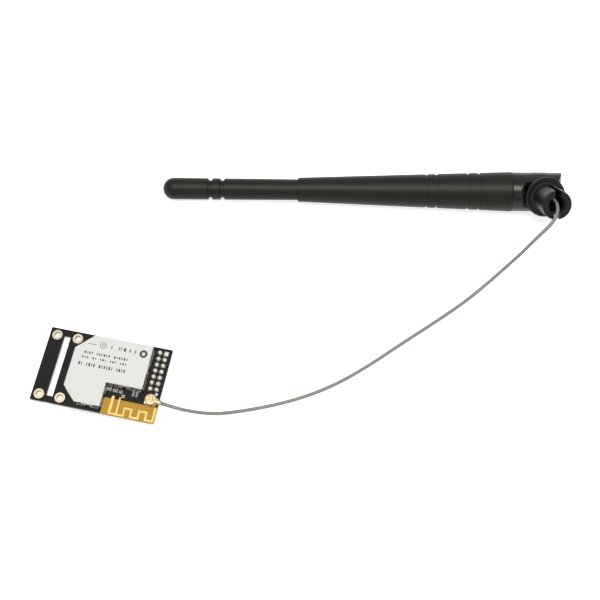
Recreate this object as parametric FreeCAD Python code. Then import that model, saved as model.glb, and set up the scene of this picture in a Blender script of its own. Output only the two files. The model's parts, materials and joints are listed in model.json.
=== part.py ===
"""A serial-to-WiFi circuit module with its external whip antenna, in millimetres.

The module's board is level and stands on the pins of its two-row header. A thin coaxial
cable runs from the snap-on plug on the board to the antenna, which lies on the same
surface. The antenna's snap-in foot is hinged in the fork at its thick end.

The frame: the origin is under the middle of the header, at the pins' tips. +X runs along
the board's long side towards the header's end, +Y across the board, and +Z up.
"""
import FreeCAD
import Part
import math
import os

V = FreeCAD.Vector

# Board
BOARD_LENGTH = 38.9
BOARD_WIDTH = 24.3
BOARD_THICKNESS = 1.0
BOARD_CORNER_RADIUS = 0.3
COPPER_THICKNESS = 0.06
MOUNT_HOLE_RADIUS = 0.9
MOUNT_PAD_RADIUS = 1.6
MOUNT_HOLE_EDGE_X = 2.35
MOUNT_HOLE_EDGE_Y = 2.25
MOUNT_SPACING_X = 6.6
SLOT_WIDTH = 2.0
SLOT_EDGE_Y = 2.2

# Header
PITCH = 2.0
HEADER_ROWS = 7
HEADER_COLUMNS = 2
HEADER_TO_RIGHT_EDGE = 2.75
HEADER_TO_TOP_EDGE = 7.65
PIN_SIDE = 0.5
PIN_LENGTH_BELOW = 4.0
PIN_LENGTH_ABOVE = 0.65
PIN_TIP_BEVEL = 0.12
PIN_CLEARANCE = 0.03
HOUSING_WIDTH = 4.0
HOUSING_HEIGHT = 2.0
HOUSING_NOTCH = 0.45
PAD_RADIUS = 0.75
DRILL_RADIUS = 0.42
SOLDER_FOOT_INSET = 0.03
SOLDER_TOP_RADIUS = 0.38
SOLDER_HEIGHT = 0.45
SOLDER_SHOULDER = 0.62
SMALL_ROUND_SIDES = 16

# Screening can over the radio circuit, from the board's left, right, bottom and top edges
CAN_TO_LEFT_EDGE = 9.55
CAN_TO_RIGHT_EDGE = 5.7
CAN_TO_BOTTOM_EDGE = 1.35
CAN_TO_TOP_EDGE = 0.8
CAN_UPPER_BEVEL = 5.1
CAN_LOWER_BEVEL = 4.5
CAN_NOTCH_TO_RIGHT_EDGE = 16.95
CAN_NOTCH_TO_HEADER = 0.45
SHEET_THICKNESS = 0.2
LID_CLEARANCE = 0.03
FRAME_HEIGHT = 2.0
FRAME_FLANGE = 0.7
FRAME_ARCH_WIDTH = 1.2
FRAME_ARCH_HEIGHT = 0.45
FRAME_FOOT_WIDTH = 0.45
FRAME_FOOT_HEIGHT = 0.3
LID_SKIRT = 1.45
LID_CORNER_GAP = 0.45
LID_RIB_LENGTH = 3.6
LID_RIB_RADIUS = 0.28
LID_RIB_PROUD = 0.12
LABEL_MARGIN = 0.15
LABEL_THICKNESS = 0.1

# Chips under the can: centres from its left or right side and its top, and their sizes
RADIO_CHIP_TO_CAN = (5.3, 9.5)
RADIO_CHIP_SIZE = (6.0, 6.0, 0.9)
MEMORY_CHIP_TO_CAN = (5.7, 4.9)
MEMORY_CHIP_SIZE = (5.2, 5.3, 1.6)
MEMORY_LEGS = 8
LEG_PITCH = 1.27
LEG_WIDTH = 0.4
LEG_THICKNESS = 0.2
LEG_REACH = 0.9
CHIP_STAND = 0.1
CRYSTAL_TO_CAN = (7.2, 11.5)
CRYSTAL_SIZE = (2.5, 3.2, 0.75)
INDUCTOR_TO_CAN = (4.0, 11.5)
INDUCTOR_SIZE = (3.0, 3.0, 1.4)
CAPACITOR_SIZE = (0.5, 1.0, 0.5)
CAPACITOR_SPACING = 1.1
CAPACITORS_IN_ROW = 4
CAPACITOR_ROWS = 2
CAPACITOR_ROW_SPACING = 1.8
CAPACITOR_TO_CHIP = 0.8

# Printed antenna in the strip below the notch: heights as shares of the strip's height
TRACE_WIDTH = 0.55
FEED_WIDTH = 0.85
TRACE_TO_EDGE = 0.5
MEANDER_SHARE = 0.32
LEG_SHARE = 0.62
TAIL_SHARE = 0.5
MEANDER_TO_RIGHT_EDGE = (9.7, 7.5, 5.1, 2.8, 0.55)
FEED_TO_RIGHT_EDGE = 14.05
SECOND_LEG_TO_RIGHT_EDGE = 11.9

# Coaxial plug and receptacle, between the header's last pads and the printed antenna
PLUG_TO_RIGHT_EDGE = 2.45
PLUG_SHARE = 0.472
PLUG_YAW = -7.0
RECEPTACLE_SIDE = 2.9
RECEPTACLE_BASE_HEIGHT = 0.35
RECEPTACLE_CORNER = 0.2
GROUND_TAB_WIDTH = 2.2
SIGNAL_TAB_WIDTH = 0.6
TAB_REACH = 0.5
SIGNAL_TAB_REACH = 0.35
TAB_THICKNESS = 0.2
RING_RADIUS = 1.0
RING_WALL = 0.13
RING_HEIGHT = 1.25
RING_BEAD = 0.06
BEAD_WIDTH = 0.2
BEAD_TO_TOP = 0.15
CONTACT_RADIUS = 0.25
CONTACT_HEIGHT = 1.0
CONTACT_TIP = 0.1
PLUG_RADIUS = 1.75
PLUG_WALL = 0.2
PLUG_TOP_HEIGHT = 2.15
PLUG_LIFT = 0.6
PLUG_RIM = 0.3
CRIMP_RADIUS = 0.8
CRIMP_REACH = 3.4
CRIMP_LIFT = 1.3
CRIMP_WAIST_DEPTH = 0.14
CRIMP_WAIST_START = 0.25
CRIMP_WAIST_LENGTH = 0.35
CRIMP_SEAM_WIDTH = 0.12
CRIMP_SEAM_DEPTH = 0.16
CONTACT_HOLE_DEPTH = 0.3

# Cable
CABLE_DIAMETER = 1.13

# Whip antenna, along its own axis from the tip
TIP_RADIUS = 3.6
TIP_GROOVES = (15.8, 19.8)
TIP_GROOVE_WIDTH = 1.15
TIP_GROOVE_DEPTH = 0.7
WAIST_RADIUS = 3.45
STEP_FROM_TIP = 44.9
STEP_RADIUS = 4.0
SLEEVE_END = 115.1
SLEEVE_OVER_FORK = 0.1
SLEEVE_END_FLAT = 0.4
BODY_GROOVES_FROM_END = (27.9, 24.6, 14.4, 10.8)
BODY_GROOVE_WIDTH = 1.0
BODY_GROOVE_DEPTH = 0.25
BORE_START = 6.0
TIP_BORE_RADIUS = 2.3
BODY_BORE_RADIUS = 2.85
SOCKET_DEPTH = 18.0
RADIATOR_START = 20.0
RADIATOR_RADIUS = 0.4
CHOKE_START = 47.0
CHOKE_LENGTH = 24.0
CHOKE_RADIUS = 2.75
CHOKE_WALL = 0.3

# Hinge
PIVOT_BEYOND_SLEEVE = 9.0
FORK_RADIUS = 6.4
SPIGOT_RADIUS = 4.2
SPIGOT_LENGTH = 17.0
SOCKET_CLEARANCE = 0.05
FEED_BORE_RADIUS = 0.75
THROAT = 5.3
CHEEK_GAP = 5.9
CHEEK_END = 7.0
CHEEK_EDGE_BEVEL = 0.25
RELIEF_CLEARANCE = 0.2
RELIEF_DEPTH = 1.6
TRUNNION_RADIUS = 2.0
TRUNNION_CLEARANCE = 0.06
TRUNNION_INSET = 0.3
KNUCKLE_SIDE_CLEARANCE = 0.12
KNUCKLE_THROAT_CLEARANCE = 0.3
COLLAR_RADIUS = 6.5
COLLAR_CLEARANCE = 0.12
COLLAR_THICKNESS = 1.2
COLLAR_BEVEL = 0.4
NECK_RADIUS = 4.4
NECK_FLARE = 0.6
RIDGE_RADIUS = 4.7
RIDGE_START = 15.4
RIDGE_SLOPE = 0.6
NOSE_BEVEL = 0.3
STUB_END = 20.4
STUB_BORE_RADIUS = 2.4
STUB_MOUTH_RADIUS = 3.0
STUB_MOUTH_DEPTH = 0.8
STUB_SLOT_WIDTH = 1.9
STUB_SLOT_START = 10.5
CABLE_SLOT_WIDTH = 1.8
CABLE_SLOT_REACH = 4.0

# Where the whip lies: its pivot in plan, its heading, and how the foot is folded at rest
PIVOT_X = 106.6
PIVOT_Y = 86.8
WHIP_YAW = 10.3
FOOT_ROLL = 41.5
FOOT_FOLD = 82.0

# The cable's route from inside the snap-in foot to the point before the plug
CABLE_ROUTE = [
    (106.8, 86.4, 7.2),
    (107.9, 83.8, 10.5),
    (109.5, 80.8, 15.0),
    (111.0, 78.1, 18.0),
    (111.8, 75.15, 19.75),
    (111.95, 72.1, 20.1),
    (110.95, 69.1, 19.4),
    (109.1, 66.7, 18.0),
    (107.3, 64.7, 16.4),
    (105.4, 62.7, 13.9),
    (103.1, 60.5, 10.4),
    (100.0, 57.9, 5.9),
    (95.5, 53.4, 1.6),
    (89.4, 45.8, 0.6),
    (81.1, 36.7, 0.6),
    (72.3, 27.7, 0.6),
    (63.2, 17.9, 0.6),
    (54.5, 9.7, 0.6),
    (45.4, 3.3, 0.6),
    (36.0, -1.6, 0.65),
    (27.6, -5.2, 1.0),
    (21.1, -8.0, 2.4),
    (16.3, -9.6, 4.6),
    (12.3, -10.5, 6.8),
    (8.5, -10.9, 8.3),
]

# Levels and edges that follow from the sizes above
MOUNT_SPACING_Y = BOARD_WIDTH - 2 * MOUNT_HOLE_EDGE_Y
BOARD_LEFT = HEADER_TO_RIGHT_EDGE - BOARD_LENGTH
BOARD_BOTTOM_Y = HEADER_TO_TOP_EDGE - BOARD_WIDTH
BOARD_UNDER = PIN_LENGTH_BELOW + HOUSING_HEIGHT
BOARD_TOP = BOARD_UNDER + BOARD_THICKNESS
SOLDER_FOOT_RADIUS = PAD_RADIUS - SOLDER_FOOT_INSET
CAN_LEFT = CAN_TO_LEFT_EDGE
CAN_RIGHT = BOARD_LENGTH - CAN_TO_RIGHT_EDGE
CAN_BOTTOM = CAN_TO_BOTTOM_EDGE
CAN_TOP = BOARD_WIDTH - CAN_TO_TOP_EDGE
CAN_NOTCH_X = BOARD_LENGTH - CAN_NOTCH_TO_RIGHT_EDGE
HEADER_END_Y = -HEADER_ROWS * PITCH / 2
CAN_NOTCH_Y = HEADER_END_Y - CAN_NOTCH_TO_HEADER - BOARD_BOTTOM_Y
MEANDER_TOP_Y = MEANDER_SHARE * CAN_NOTCH_Y
LAST_PAD_EDGE_Y = HEADER_END_Y + PITCH / 2 - PAD_RADIUS
ANTENNA_TOP_EDGE_Y = BOARD_BOTTOM_Y + MEANDER_TOP_Y + TRACE_WIDTH / 2
PLUG_X = HEADER_TO_RIGHT_EDGE - PLUG_TO_RIGHT_EDGE
PLUG_Y = LAST_PAD_EDGE_Y + PLUG_SHARE * (ANTENNA_TOP_EDGE_Y - LAST_PAD_EDGE_Y)
PIVOT_FROM_TIP = SLEEVE_END + PIVOT_BEYOND_SLEEVE
SLEEVE_END_RADIUS = FORK_RADIUS + SLEEVE_OVER_FORK
RELIEF_RADIUS = COLLAR_RADIUS + RELIEF_CLEARANCE
COPPER_TOP = BOARD_TOP + COPPER_THICKNESS
CABLE_RADIUS = CABLE_DIAMETER / 2
COLLAR_INNER = CHEEK_END + COLLAR_CLEARANCE
COLLAR_OUTER = COLLAR_INNER + COLLAR_THICKNESS
KNUCKLE_HALF = CHEEK_GAP / 2 - KNUCKLE_SIDE_CLEARANCE
BARREL_RADIUS = THROAT - KNUCKLE_THROAT_CLEARANCE


def board_point(x, y, z=0.0):
    """A place given from the board's left and bottom edges, in the part's frame."""
    return V(BOARD_LEFT + x, BOARD_BOTTOM_Y + y, z)


def box(x0, y0, z0, x1, y1, z1):
    return Part.makeBox(x1 - x0, y1 - y0, z1 - z0, V(x0, y0, z0))


def rod(radius, z0, z1, x=0.0, y=0.0):
    return Part.makeCylinder(radius, z1 - z0, V(x, y, z0))


def rod_along(axis, radius, start, end):
    """A round bar along an axis through the origin, from one distance to another."""
    return Part.makeCylinder(radius, end - start, axis * start, axis)


def tube(outer, inner, z0, z1, x=0.0, y=0.0):
    return rod(outer, z0, z1, x, y).cut(rod(inner, z0, z1, x, y))


def polygon(points):
    closed = points + [points[0]]
    return Part.makePolygon(closed)


def prism(points, z0, z1):
    face = Part.Face(polygon([V(p.x, p.y, z0) for p in points]))
    return face.extrude(V(0, 0, z1 - z0))


def turned(profile, axis=V(1, 0, 0)):
    """A solid of revolution from (distance along the axis, radius) pairs, about +X or +Z."""
    if axis.x:
        points = [V(s, r, 0) for s, r in profile]
    else:
        points = [V(r, 0, s) for s, r in profile]
    return Part.Face(polygon(points)).revolve(V(0, 0, 0), axis, 360)


def small_round(radius, z0, z1, place):
    """An upright many-sided bar for the small drilled and tinned rounds."""
    return prism(ring_of_points(radius, place), z0, z1)


def ring_of_points(radius, place, z=0.0):
    turn = 2 * math.pi / SMALL_ROUND_SIDES
    return [V(place.x + radius * math.cos(number * turn),
              place.y + radius * math.sin(number * turn), z)
            for number in range(SMALL_ROUND_SIDES)]


def inset_outline(points, distance):
    """The same closed outline, moved inwards by a distance, with sharp corners kept."""
    wire = polygon(points)
    moved = wire.makeOffset2D(-distance, 2)
    return [vertex.Point for vertex in moved.OrderedVertexes]


def group(solids):
    return Part.makeCompound(solids)


def mount_holes():
    xs = (MOUNT_HOLE_EDGE_X, MOUNT_HOLE_EDGE_X + MOUNT_SPACING_X)
    ys = (MOUNT_HOLE_EDGE_Y, MOUNT_HOLE_EDGE_Y + MOUNT_SPACING_Y)
    return [board_point(x, y) for x in xs for y in ys]


def pin_places():
    """Pin centres, from pin 1 at the top of the right-hand column."""
    places = []
    for column in range(HEADER_COLUMNS):
        x = ((HEADER_COLUMNS - 1) / 2 - column) * PITCH
        for row in range(HEADER_ROWS):
            y = ((HEADER_ROWS - 1) / 2 - row) * PITCH
            places.append(V(x, y, 0))
    return places


def circuit_board():
    blank = box(BOARD_LEFT, BOARD_BOTTOM_Y, BOARD_UNDER,
                HEADER_TO_RIGHT_EDGE, HEADER_TO_TOP_EDGE, BOARD_TOP)
    upright = [e for e in blank.Edges if abs(e.tangentAt(e.FirstParameter).z) > 0.9]
    board = blank.makeFillet(BOARD_CORNER_RADIUS, upright)
    cuts = [rod(MOUNT_HOLE_RADIUS, BOARD_UNDER, BOARD_TOP, p.x, p.y) for p in mount_holes()]
    cuts += [small_round(DRILL_RADIUS, BOARD_UNDER, BOARD_TOP, p) for p in pin_places()]
    slot_x = MOUNT_HOLE_EDGE_X + MOUNT_SPACING_X / 2
    low = board_point(slot_x - SLOT_WIDTH / 2, SLOT_EDGE_Y, BOARD_UNDER)
    high = board_point(slot_x + SLOT_WIDTH / 2, BOARD_WIDTH - SLOT_EDGE_Y, BOARD_TOP)
    cuts.append(box(low.x, low.y, low.z, high.x, high.y, high.z))
    return board.cut(cuts)


def copper_pads():
    """Rings round the mounting holes on both faces, and the header's solder pads."""
    pads = []
    for p in mount_holes():
        pads.append(tube(MOUNT_PAD_RADIUS, MOUNT_HOLE_RADIUS, BOARD_TOP, COPPER_TOP, p.x, p.y))
        pads.append(tube(MOUNT_PAD_RADIUS, MOUNT_HOLE_RADIUS,
                         BOARD_UNDER - COPPER_THICKNESS, BOARD_UNDER, p.x, p.y))
    for number, p in enumerate(pin_places()):
        if number == 0:
            pad = box(p.x - PAD_RADIUS, p.y - PAD_RADIUS, BOARD_TOP,
                      p.x + PAD_RADIUS, p.y + PAD_RADIUS, COPPER_TOP)
        else:
            pad = small_round(PAD_RADIUS, BOARD_TOP, COPPER_TOP, p)
        pads.append(pad.cut(small_round(DRILL_RADIUS, BOARD_TOP, COPPER_TOP, p)))
    return group(pads)


def trace_run(x0, y0, x1, y1, width=TRACE_WIDTH):
    """One straight copper run between two board places, with square ends."""
    half = width / 2
    low = board_point(min(x0, x1) - half, min(y0, y1) - half)
    high = board_point(max(x0, x1) + half, max(y0, y1) + half)
    return box(low.x, low.y, BOARD_TOP, high.x, high.y, COPPER_TOP)


def printed_antenna():
    """A bent strip: two legs down to a bar at the board's edge, then a square meander."""
    edge_y = TRACE_TO_EDGE
    feed_lift = (FEED_WIDTH - TRACE_WIDTH) / 2
    leg_top = LEG_SHARE * CAN_NOTCH_Y
    feed_x = BOARD_LENGTH - FEED_TO_RIGHT_EDGE
    second_x = BOARD_LENGTH - SECOND_LEG_TO_RIGHT_EDGE
    bends = [BOARD_LENGTH - distance for distance in MEANDER_TO_RIGHT_EDGE]
    runs = [
        trace_run(feed_x, edge_y + feed_lift, feed_x, leg_top, FEED_WIDTH),
        trace_run(second_x, edge_y, second_x, leg_top),
        trace_run(feed_x, edge_y, bends[0], edge_y),
    ]
    level = edge_y
    for x, next_x in zip(bends, bends[1:]):
        other = MEANDER_TOP_Y if level == edge_y else edge_y
        runs.append(trace_run(x, level, x, other))
        runs.append(trace_run(x, other, next_x, other))
        level = other
    runs.append(trace_run(bends[-1], level, bends[-1], TAIL_SHARE * CAN_NOTCH_Y))
    return runs[0].fuse(runs[1:]).removeSplitter()


def header_housing():
    """The moulded strip that holds the pins, notched between the rows as such strips are."""
    half_x = HOUSING_WIDTH / 2
    half_y = HEADER_ROWS * PITCH / 2
    strip = box(-half_x, -half_y, PIN_LENGTH_BELOW, half_x, half_y, BOARD_UNDER)
    cuts = []
    for row in range(HEADER_ROWS + 1):
        y = -half_y + row * PITCH
        for side in (-1, 1):
            notch = [V(side * half_x, y - HOUSING_NOTCH, 0), V(side * half_x, y + HOUSING_NOTCH, 0),
                     V(side * (half_x - HOUSING_NOTCH), y, 0)]
            cuts.append(prism(notch, PIN_LENGTH_BELOW, BOARD_UNDER))
    for p in pin_places():
        cuts.append(pin_bar(p, PIN_LENGTH_BELOW, BOARD_UNDER, PIN_CLEARANCE))
    return strip.cut(cuts)


def pin_bar(place, z0, z1, extra=0.0):
    half = PIN_SIDE / 2 + extra
    return box(place.x - half, place.y - half, z0, place.x + half, place.y + half, z1)


def header_pins():
    pins = []
    for p in pin_places():
        bar = pin_bar(p, 0.0, BOARD_TOP + PIN_LENGTH_ABOVE)
        ends = [e for e in bar.Edges if abs(e.tangentAt(e.FirstParameter).z) < 0.1]
        pins.append(bar.makeChamfer(PIN_TIP_BEVEL, ends))
    return group(pins)


def header_solder():
    """A low dome of solder round each pin, and a square one with hip lines on pin 1."""
    domes = []
    top = COPPER_TOP + SOLDER_HEIGHT
    shoulder = COPPER_TOP + SOLDER_HEIGHT * SOLDER_SHOULDER
    shoulder_radius = (SOLDER_FOOT_RADIUS + SOLDER_TOP_RADIUS) / 2
    for number, p in enumerate(pin_places()):
        if number == 0:
            levels = [square_wire(p, SOLDER_FOOT_RADIUS, COPPER_TOP),
                      square_wire(p, SOLDER_TOP_RADIUS, top)]
        else:
            levels = [polygon(ring_of_points(SOLDER_FOOT_RADIUS, p, COPPER_TOP)),
                      polygon(ring_of_points(shoulder_radius, p, shoulder)),
                      polygon(ring_of_points(SOLDER_TOP_RADIUS, p, top))]
        dome = Part.makeLoft(levels, True, True)
        domes.append(dome.cut(pin_bar(p, BOARD_UNDER, top)))
    return group(domes)


def square_wire(place, half, z):
    corners = [(-1, -1), (1, -1), (1, 1), (-1, 1)]
    return polygon([V(place.x + sx * half, place.y + sy * half, z) for sx, sy in corners])


def can_outline():
    """The screening can's plan: bevelled on the left, notched at the lower right."""
    corners = [
        (CAN_LEFT + CAN_LOWER_BEVEL, CAN_BOTTOM),
        (CAN_NOTCH_X, CAN_BOTTOM),
        (CAN_NOTCH_X, CAN_NOTCH_Y),
        (CAN_RIGHT, CAN_NOTCH_Y),
        (CAN_RIGHT, CAN_TOP),
        (CAN_LEFT + CAN_UPPER_BEVEL, CAN_TOP),
        (CAN_LEFT, CAN_TOP - CAN_UPPER_BEVEL),
        (CAN_LEFT, CAN_BOTTOM + CAN_LOWER_BEVEL),
    ]
    return [board_point(x, y) for x, y in corners]


def shield_frame():
    """The soldered fence: a thin wall with a rim turned in at the top and arches for traces."""
    outer = inset_outline(can_outline(), SHEET_THICKNESS + LID_CLEARANCE)
    inner = inset_outline(outer, SHEET_THICKNESS)
    rim = inset_outline(outer, SHEET_THICKNESS + FRAME_FLANGE)
    top = BOARD_TOP + FRAME_HEIGHT
    wall = prism(outer, BOARD_TOP, top).cut(prism(inner, BOARD_TOP, top - SHEET_THICKNESS))
    frame = wall.cut(prism(rim, BOARD_TOP, top))
    arches = []
    for a, b in zip(outer, outer[1:] + outer[:1]):
        middle = (a + b) * 0.5
        half = FRAME_ARCH_WIDTH / 2
        arches.append(box(middle.x - half, middle.y - half, BOARD_TOP,
                          middle.x + half, middle.y + half, BOARD_TOP + FRAME_ARCH_HEIGHT))
    return frame.cut(arches)


def frame_solder():
    """The bead of tin that joins the frame's foot to the board, parted at the arches."""
    outer = inset_outline(can_outline(), SHEET_THICKNESS + LID_CLEARANCE)
    low, high = BOARD_TOP, BOARD_TOP + FRAME_FOOT_HEIGHT
    beads = []
    for a, b in zip(outer, outer[1:] + outer[:1]):
        length = (b - a).Length
        along = (b - a).normalize()
        outward = V(along.y, -along.x, 0)
        middle = (a + b) * 0.5
        corner = along * min(FRAME_FOOT_WIDTH / 2, length * 0.1)
        half_gap = along * min(FRAME_ARCH_WIDTH / 2, length * 0.25)
        for start, end in [(a + corner, middle - half_gap), (middle + half_gap, b - corner)]:
            section = [start + V(0, 0, low), start + V(0, 0, high),
                       start + outward * FRAME_FOOT_WIDTH + V(0, 0, low)]
            beads.append(Part.Face(polygon(section)).extrude(end - start))
    return group(beads)


def shield_lid():
    """The snap-on lid: a plate with a skirt on each side, parted at the corners, and ribs."""
    outline = can_outline()
    under = BOARD_TOP + FRAME_HEIGHT
    top = under + SHEET_THICKNESS
    lid = prism(outline, under, top)
    skirts = []
    for a, b in zip(outline, outline[1:] + outline[:1]):
        along = (b - a).normalize()
        inward = V(-along.y, along.x, 0)
        start = a + along * LID_CORNER_GAP
        end = b - along * LID_CORNER_GAP
        strip = [start, end, end + inward * SHEET_THICKNESS, start + inward * SHEET_THICKNESS]
        skirts.append(prism(strip, top - LID_SKIRT, top))
        skirts.append(lid_rib(a, b, along, inward, top))
    return lid.fuse(skirts).removeSplitter()


def lid_rib(a, b, along, inward, top):
    """A pressed rib along the middle of a skirt, standing a little proud of it."""
    length = min(LID_RIB_LENGTH, (b - a).Length / 2)
    centre = (a + b) * 0.5 + inward * (LID_RIB_RADIUS - LID_RIB_PROUD)
    start = centre - along * (length / 2) + V(0, 0, top - LID_SKIRT / 2)
    rib = Part.makeCylinder(LID_RIB_RADIUS, length, start, along)
    behind = [a + inward * SHEET_THICKNESS, b + inward * SHEET_THICKNESS,
              b + inward * 2, a + inward * 2]
    return rib.cut(prism(behind, top - LID_SKIRT - 1, top + 1))


def shield_label():
    under = BOARD_TOP + FRAME_HEIGHT + SHEET_THICKNESS
    outline = inset_outline(can_outline(), LABEL_MARGIN)
    return prism(outline, under, under + LABEL_THICKNESS)


def chip(centre, size, leg_count=0):
    """A square-bodied chip, with gull-wing legs on two sides if it has any."""
    length, width, height = size
    stand = CHIP_STAND if leg_count else 0.0
    body = box(centre.x - length / 2, centre.y - width / 2, BOARD_TOP + stand,
               centre.x + length / 2, centre.y + width / 2, BOARD_TOP + height)
    legs = []
    for number in range(leg_count // 2):
        x = centre.x + (number - (leg_count // 2 - 1) / 2) * LEG_PITCH
        for side in (-1, 1):
            legs += gull_wing(x, centre.y + side * width / 2, side, height / 2)
    if legs:
        body = body.fuse(legs).removeSplitter()
    return body


def gull_wing(x, start, side, knee):
    """One leg's three boxes: out from the body, down to the board, and along it."""
    bend = start + side * LEG_REACH / 2
    lower_bend = bend - side * LEG_THICKNESS
    end = start + side * LEG_REACH
    runs = [(start, bend, knee - LEG_THICKNESS, knee), (bend, lower_bend, 0, knee),
            (bend, end, 0, LEG_THICKNESS)]
    return [box(x - LEG_WIDTH / 2, min(y0, y1), BOARD_TOP + z0,
                x + LEG_WIDTH / 2, max(y0, y1), BOARD_TOP + z1) for y0, y1, z0, z1 in runs]


def from_left_of_can(offsets):
    return board_point(CAN_LEFT + offsets[0], CAN_TOP - offsets[1])


def from_right_of_can(offsets):
    return board_point(CAN_RIGHT - offsets[0], CAN_TOP - offsets[1])


def radio_chip():
    return chip(from_left_of_can(RADIO_CHIP_TO_CAN), RADIO_CHIP_SIZE)


def memory_chip():
    return chip(from_right_of_can(MEMORY_CHIP_TO_CAN), MEMORY_CHIP_SIZE, MEMORY_LEGS)


def crystal():
    return chip(from_right_of_can(CRYSTAL_TO_CAN), CRYSTAL_SIZE)


def power_inductor():
    return chip(from_right_of_can(INDUCTOR_TO_CAN), INDUCTOR_SIZE)


def bypass_capacitors():
    """Small ceramic blocks in two rows, above the radio chip."""
    middle = from_left_of_can(RADIO_CHIP_TO_CAN)
    first_y = RADIO_CHIP_SIZE[1] / 2 + CAPACITOR_TO_CHIP + CAPACITOR_SIZE[1] / 2
    blocks = []
    for row in range(CAPACITOR_ROWS):
        for number in range(CAPACITORS_IN_ROW):
            x = (number - (CAPACITORS_IN_ROW - 1) / 2) * CAPACITOR_SPACING
            y = first_y + row * CAPACITOR_ROW_SPACING
            blocks.append(chip(middle + V(x, y, 0), CAPACITOR_SIZE))
    return group(blocks)


def receptacle_place():
    return V(PLUG_X, PLUG_Y, BOARD_TOP)


def receptacle_base():
    """The receptacle's moulded base, with its corners cut and a hole for the contact."""
    half = RECEPTACLE_SIDE / 2
    p = receptacle_place()
    base = box(p.x - half, p.y - half, p.z, p.x + half, p.y + half, p.z + RECEPTACLE_BASE_HEIGHT)
    upright = [e for e in base.Edges if abs(e.tangentAt(e.FirstParameter).z) > 0.9]
    base = base.makeChamfer(RECEPTACLE_CORNER, upright)
    return base.cut(rod(CONTACT_RADIUS, p.z, p.z + RECEPTACLE_BASE_HEIGHT, p.x, p.y))


def receptacle_tabs():
    """The tinned tabs soldered to the board: ground at two sides and the signal at a third."""
    p = receptacle_place()
    half = RECEPTACLE_SIDE / 2
    top = p.z + TAB_THICKNESS
    tabs = [box(p.x - SIGNAL_TAB_WIDTH / 2, p.y - half - SIGNAL_TAB_REACH, p.z,
                p.x + SIGNAL_TAB_WIDTH / 2, p.y - half, top)]
    for side in (-1, 1):
        near, far = p.x + side * half, p.x + side * (half + TAB_REACH)
        tabs.append(box(min(near, far), p.y - GROUND_TAB_WIDTH / 2, p.z,
                        max(near, far), p.y + GROUND_TAB_WIDTH / 2, top))
    return group(tabs)


def receptacle_ring():
    """The gold ring that the plug snaps over, with its bead near the top."""
    p = receptacle_place()
    low = p.z + RECEPTACLE_BASE_HEIGHT
    high = p.z + RING_HEIGHT
    ring = rod(RING_RADIUS, low, high, p.x, p.y)
    bead_top = high - BEAD_TO_TOP
    ring = ring.fuse(rod(RING_RADIUS + RING_BEAD, bead_top - BEAD_WIDTH, bead_top, p.x, p.y))
    return ring.cut(rod(RING_RADIUS - RING_WALL, low, high, p.x, p.y)).removeSplitter()


def receptacle_contact():
    p = receptacle_place()
    pin = rod(CONTACT_RADIUS, p.z, p.z + CONTACT_HEIGHT, p.x, p.y)
    crown = [e for e in pin.Edges if abs(e.CenterOfMass.z - p.z - CONTACT_HEIGHT) < 1e-6]
    return pin.makeChamfer(CONTACT_TIP, crown)


def plug_placement():
    return FreeCAD.Placement(receptacle_place(), FreeCAD.Rotation(V(0, 0, 1), PLUG_YAW))


def set_in(shape, placement):
    """A copy of the shape, moved to a placement."""
    moved = shape.copy()
    moved.Placement = placement.multiply(moved.Placement)
    return moved


def plug_shell():
    """The gold cap with its rounded rim, side mouth and the barrel crimped on the cable."""
    low, high = PLUG_LIFT, PLUG_TOP_HEIGHT
    cap = rod(PLUG_RADIUS, low, high)
    rim = [e for e in cap.Edges if abs(e.CenterOfMass.z - high) < 1e-6 and len(e.Vertexes) == 1]
    cap = cap.makeFillet(PLUG_RIM, rim)
    cap = cap.cut(rod(PLUG_RADIUS - PLUG_WALL, low, high - PLUG_WALL))
    axis_z = CRIMP_LIFT
    start = PLUG_RADIUS - PLUG_WALL
    barrel = Part.makeCylinder(CRIMP_RADIUS, CRIMP_REACH - start, V(start, 0, axis_z), V(1, 0, 0))
    waist_start = V(PLUG_RADIUS + CRIMP_WAIST_START, 0, axis_z)
    groove = Part.makeCylinder(CRIMP_RADIUS, CRIMP_WAIST_LENGTH, waist_start, V(1, 0, 0))
    groove = groove.cut(Part.makeCylinder(CRIMP_RADIUS - CRIMP_WAIST_DEPTH, CRIMP_WAIST_LENGTH,
                                          waist_start, V(1, 0, 0)))
    crown = axis_z + CRIMP_RADIUS
    seam = box(start, -CRIMP_SEAM_WIDTH / 2, crown - CRIMP_SEAM_DEPTH,
               CRIMP_REACH, CRIMP_SEAM_WIDTH / 2, crown)
    barrel = barrel.cut([groove, seam])
    return set_in(cap.fuse(barrel).removeSplitter(), plug_placement())


def plug_insert():
    """The white insulator inside the cap, over the receptacle's ring."""
    high = PLUG_TOP_HEIGHT - PLUG_WALL
    low = RING_HEIGHT
    insert = rod(PLUG_RADIUS - PLUG_WALL, low, high)
    hole = rod(CONTACT_RADIUS, low, low + CONTACT_HOLE_DEPTH)
    return set_in(insert.cut(hole), plug_placement())


def plug_spring():
    """The split spring ring in the plug that grips the receptacle's ring."""
    outer = PLUG_RADIUS - PLUG_WALL
    inner = RING_RADIUS + RING_BEAD
    spring = tube(outer, inner, PLUG_LIFT, RING_HEIGHT)
    mouth = box(0, -CRIMP_RADIUS, PLUG_LIFT, outer, CRIMP_RADIUS, RING_HEIGHT)
    return set_in(spring.cut(mouth), plug_placement())


def plug_exit():
    """Where the cable meets the crimped barrel, in the part's frame."""
    return plug_placement().multVec(V(CRIMP_REACH, 0, CRIMP_LIFT))


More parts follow.
